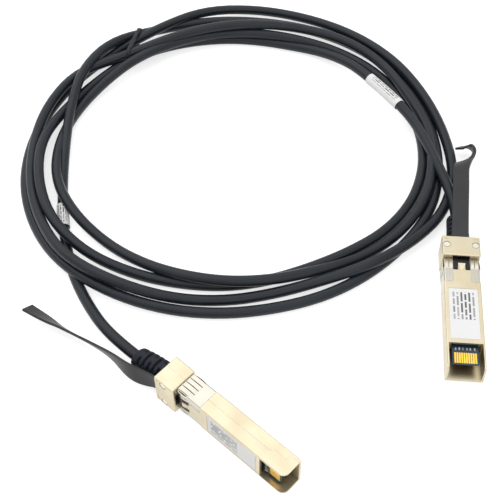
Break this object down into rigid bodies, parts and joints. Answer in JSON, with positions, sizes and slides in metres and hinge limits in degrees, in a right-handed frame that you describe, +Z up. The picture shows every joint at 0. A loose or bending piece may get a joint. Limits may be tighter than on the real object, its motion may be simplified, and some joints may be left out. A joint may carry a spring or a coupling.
{
  "type": "direct attach copper cable",
  "caption": "Small form-factor plugs with sliding pull-strap latches on both ends of a round copper twinax cable, loosely coiled and tied",
  "frame": {"origin": "on the bench, at the centre of the box round the two plugs and their pull straps", "axes": "+Z up from the bench, +Y from plug B's mating end towards its cable, +X to the side of plug B away from the coil"},
  "size_m": [0.1859, 0.2415, 0.014],
  "materials": {
    "shell_metal": "satin nickel plate on a zinc casting",
    "rivet_metal": "bright turned heads",
    "collar_spring_steel": "stamped, bright",
    "slider_plastic": "fine moulded",
    "spring_wire": "drawn",
    "strap_plastic": "fine moulded, slightly glossy",
    "card_laminate": "solder mask",
    "contact_gold": "hard gold plate",
    "card_parts": "matt",
    "wire_insulation": "smooth",
    "ferrule_metal": "crimped",
    "boot_rubber": "moulded, matt",
    "label_stock": "blank satin label",
    "cable_jacket": "extruded, satin",
    "wrap_label": "blank satin label",
    "tie_plastic": "fine moulded"
  },
  "bodies": {
    "root": {"latch_shell_a": "shell_metal", "back_shell_a": "shell_metal", "shell_rivets_a": "rivet_metal", "emi_collar_a": "collar_spring_steel", "return_spring_a": "spring_wire", "paddle_card_a": "card_laminate", "card_contacts_a": "contact_gold", "card_parts_a": "card_parts", "core_wires_a": "wire_insulation", "cable_ferrule_a": "ferrule_metal", "cable_boot_a": "boot_rubber", "plug_label_a": "label_stock", "latch_shell_b": "shell_metal", "back_shell_b": "shell_metal", "shell_rivets_b": "rivet_metal", "emi_collar_b": "collar_spring_steel", "return_spring_b": "spring_wire", "paddle_card_b": "card_laminate", "card_contacts_b": "contact_gold", "card_parts_b": "card_parts", "core_wires_b": "wire_insulation", "cable_ferrule_b": "ferrule_metal", "cable_boot_b": "boot_rubber", "plug_label_b": "label_stock", "cable_coil": "cable_jacket", "cable_lead_a": "cable_jacket", "cable_lead_b": "cable_jacket", "cable_wrap_a": "wrap_label", "cable_wrap_b": "wrap_label", "cable_tie": "tie_plastic"},
    "release_a": {"release_slider_a": "slider_plastic", "pull_strap_a": "strap_plastic"},
    "release_b": {"release_slider_b": "slider_plastic", "pull_strap_b": "strap_plastic"}
  },
  "joints": [
    {"name": "latch_pull_a", "type": "slide", "parent": "root", "child": "release_a", "axis": [-0.7891, 0.6143, 0], "range_m": [0, 0.002], "stiffness_N_per_m": 1500, "springref_m": -0.002, "deforming": ["return_spring_a"]},
    {"name": "latch_pull_b", "type": "slide", "parent": "root", "child": "release_b", "axis": [0, 1, 0], "range_m": [0, 0.002], "stiffness_N_per_m": 1500, "springref_m": -0.002, "deforming": ["return_spring_b"]}
  ]
}
